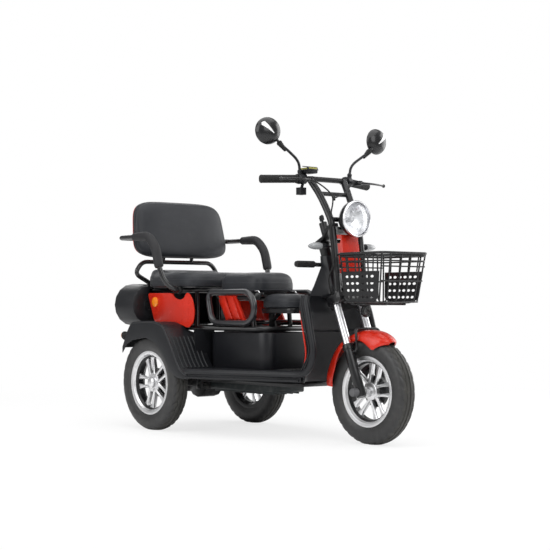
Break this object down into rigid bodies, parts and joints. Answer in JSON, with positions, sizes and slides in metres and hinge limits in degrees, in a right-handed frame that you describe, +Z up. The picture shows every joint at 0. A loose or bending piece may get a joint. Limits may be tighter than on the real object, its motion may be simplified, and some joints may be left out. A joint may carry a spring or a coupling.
{
  "type": "electric tricycle",
  "caption": "Small electric tricycle with a sprung fork, wire basket, hinged saddle, child seat, and a rear bench with backrest and handrail.",
  "frame": {"origin": "centre of the bounding box at ground level, under the tyres' contact plane", "axes": "+X forward, +Y to the rider's left, +Z up"},
  "size_m": [1.588, 0.704, 1.2835],
  "materials": {
    "tyre": "matt",
    "alloy": "polished",
    "chrome": "bright",
    "steel_key": "satin",
    "black_paint": "satin",
    "grey_paint": "satin",
    "black_plastic": "fine grain",
    "red_paint": "gloss",
    "red_lens": "gloss",
    "amber_lens": "gloss",
    "clear_lens": "clear",
    "rubber": "matt",
    "leather": "fine grain"
  },
  "bodies": {
    "chassis": {"chassis_frame": "black_paint", "floor_board": "black_plastic", "leg_shield": "black_plastic", "seat_box": "black_plastic", "battery_pack": "black_plastic", "motor_controller": "black_paint", "side_cover_left": "red_paint", "side_cover_right": "red_paint", "saddle_skirt": "red_paint", "rear_fender_left": "black_plastic", "rear_fender_right": "black_plastic", "tail_panel": "black_plastic", "tail_lamp_left": "red_lens", "tail_lamp_right": "red_lens", "rear_turn_signal_left": "amber_lens", "rear_turn_signal_right": "amber_lens", "guard_rails": "grey_paint", "bench_cushion": "leather", "backrest_cushion": "leather", "backrest_shell": "red_paint", "handrail": "grey_paint", "armrest_pad_left": "rubber", "armrest_pad_right": "rubber", "child_seat_base": "black_paint", "child_seat_cushion": "leather", "child_handle": "black_plastic"},
    "saddle": {"saddle_cushion": "leather", "saddle_pan": "black_paint"},
    "steering": {"fork_crown": "black_paint", "handlebar": "black_paint", "left_grip": "rubber", "controls_right": "black_plastic", "controls_left": "black_plastic", "dash_display": "black_plastic", "headlamp_bucket": "black_plastic", "headlamp_lens": "clear_lens", "column_cover_front": "red_paint", "front_turn_signals": "clear_lens", "basket": "black_paint", "control_cables": "rubber"},
    "throttle": {"throttle_grip": "rubber"},
    "brake_right": {"brake_lever_right": "alloy"},
    "brake_left": {"brake_lever_left": "alloy"},
    "mirror_right": {"mirror_head_right": "black_plastic"},
    "mirror_left": {"mirror_head_left": "black_plastic"},
    "horn": {"horn_button": "red_lens"},
    "turn": {"turn_switch": "black_plastic"},
    "key": {"ignition_key": "steel_key"},
    "fork": {"fork_lowers": "black_paint", "front_fender": "red_paint", "front_axle": "alloy"},
    "front_wheel": {"front_rim": "alloy", "front_tyre": "tyre"},
    "swing": {"rear_axle": "black_paint"},
    "rear_wheel_right": {"rear_rim_right": "alloy", "rear_tyre_right": "tyre"},
    "rear_wheel_left": {"rear_rim_left": "alloy", "rear_tyre_left": "tyre"},
    "shock_upper": {"shock_body": "black_paint"},
    "shock_lower": {"shock_rod": "chrome"}
  },
  "joints": [
    {"name": "saddle_hinge", "type": "hinge", "parent": "chassis", "child": "saddle", "pos_m": [0.018, 0, 0.59082], "axis": [0, 1, 0], "range_deg": [0, 45]},
    {"name": "steering", "type": "hinge", "parent": "chassis", "child": "steering", "pos_m": [0.4007, 0, 0.54682], "axis": [-0.3665, 0, 0.9304], "range_deg": [-40, 40]},
    {"name": "throttle", "type": "hinge", "parent": "steering", "child": "throttle", "pos_m": [0.30375, -0.14267, 1.04964], "axis": [-0.3254, -0.945, -0.0313], "range_deg": [0, 60], "stiffness_Nm_per_rad": 0.3, "springref_deg": -17.19},
    {"name": "brake_lever_right", "type": "hinge", "parent": "steering", "child": "brake_right", "pos_m": [0.3677, -0.14, 1.04282], "axis": [0, 0, 1], "range_deg": [-18, 0], "stiffness_Nm_per_rad": 3, "springref_deg": 8.59},
    {"name": "brake_lever_left", "type": "hinge", "parent": "steering", "child": "brake_left", "pos_m": [0.3677, 0.14, 1.04282], "axis": [0, 0, 1], "range_deg": [0, 18], "stiffness_Nm_per_rad": 3, "springref_deg": -8.59},
    {"name": "mirror_right_turn", "type": "hinge", "parent": "steering", "child": "mirror_right", "pos_m": [0.3147, -0.2537, 1.19261], "axis": [0, -0.7572, 0.6532], "range_deg": [-20, 20]},
    {"name": "mirror_left_turn", "type": "hinge", "parent": "steering", "child": "mirror_left", "pos_m": [0.3147, 0.2537, 1.19261], "axis": [0, 0.7572, 0.6532], "range_deg": [-20, 20]},
    {"name": "horn_button_slide", "type": "slide", "parent": "steering", "child": "horn", "axis": [-0.9455, -0.3256, 0], "range_m": [-0.0025, 0], "stiffness_N_per_m": 300, "springref_m": 0.002},
    {"name": "turn_switch_slide", "type": "slide", "parent": "steering", "child": "turn", "axis": [-0.3254, 0.945, -0.0313], "range_m": [-0.003, 0.003]},
    {"name": "key_turn", "type": "hinge", "parent": "steering", "child": "key", "pos_m": [0.29845, 0, 0.87735], "axis": [-0.3665, 0, 0.9304], "range_deg": [0, 90]},
    {"name": "fork_slide", "type": "slide", "parent": "steering", "child": "fork", "axis": [-0.3665, 0, 0.9304], "range_m": [0, 0.03], "stiffness_N_per_m": 15000, "springref_m": -0.03},
    {"name": "front_wheel", "type": "hinge", "parent": "fork", "child": "front_wheel", "pos_m": [0.585, 0, 0.20582], "axis": [0, 1, 0], "continuous": true},
    {"name": "rear_swing", "type": "hinge", "parent": "chassis", "child": "swing", "pos_m": [-0.383, 0, 0.18882], "axis": [0, 1, 0], "range_deg": [0, 4], "stiffness_Nm_per_rad": 1200, "springref_deg": -4.58},
    {"name": "rear_wheel_right", "type": "hinge", "parent": "swing", "child": "rear_wheel_right", "pos_m": [-0.494, -0.278, 0.20582], "axis": [0, 1, 0], "continuous": true},
    {"name": "rear_wheel_left", "type": "hinge", "parent": "swing", "child": "rear_wheel_left", "pos_m": [-0.494, 0.278, 0.20582], "axis": [0, 1, 0], "continuous": true},
    {"name": "shock_tilt", "type": "hinge", "parent": "chassis", "child": "shock_upper", "pos_m": [-0.489, 0, 0.43682], "axis": [0, 1, 0], "range_deg": [-3.6, 0.3]},
    {"name": "shock_slide", "type": "slide", "parent": "shock_upper", "child": "shock_lower", "axis": [-0.0365, 0, -0.9993], "range_m": [-0.0085, 0.001]}
  ],
  "couplings": [
    {"joint": "shock_tilt", "follows": "rear_swing", "ratio": -0.82},
    {"joint": "shock_slide", "follows": "rear_swing", "m_per_rad": -0.1105}
  ]
}
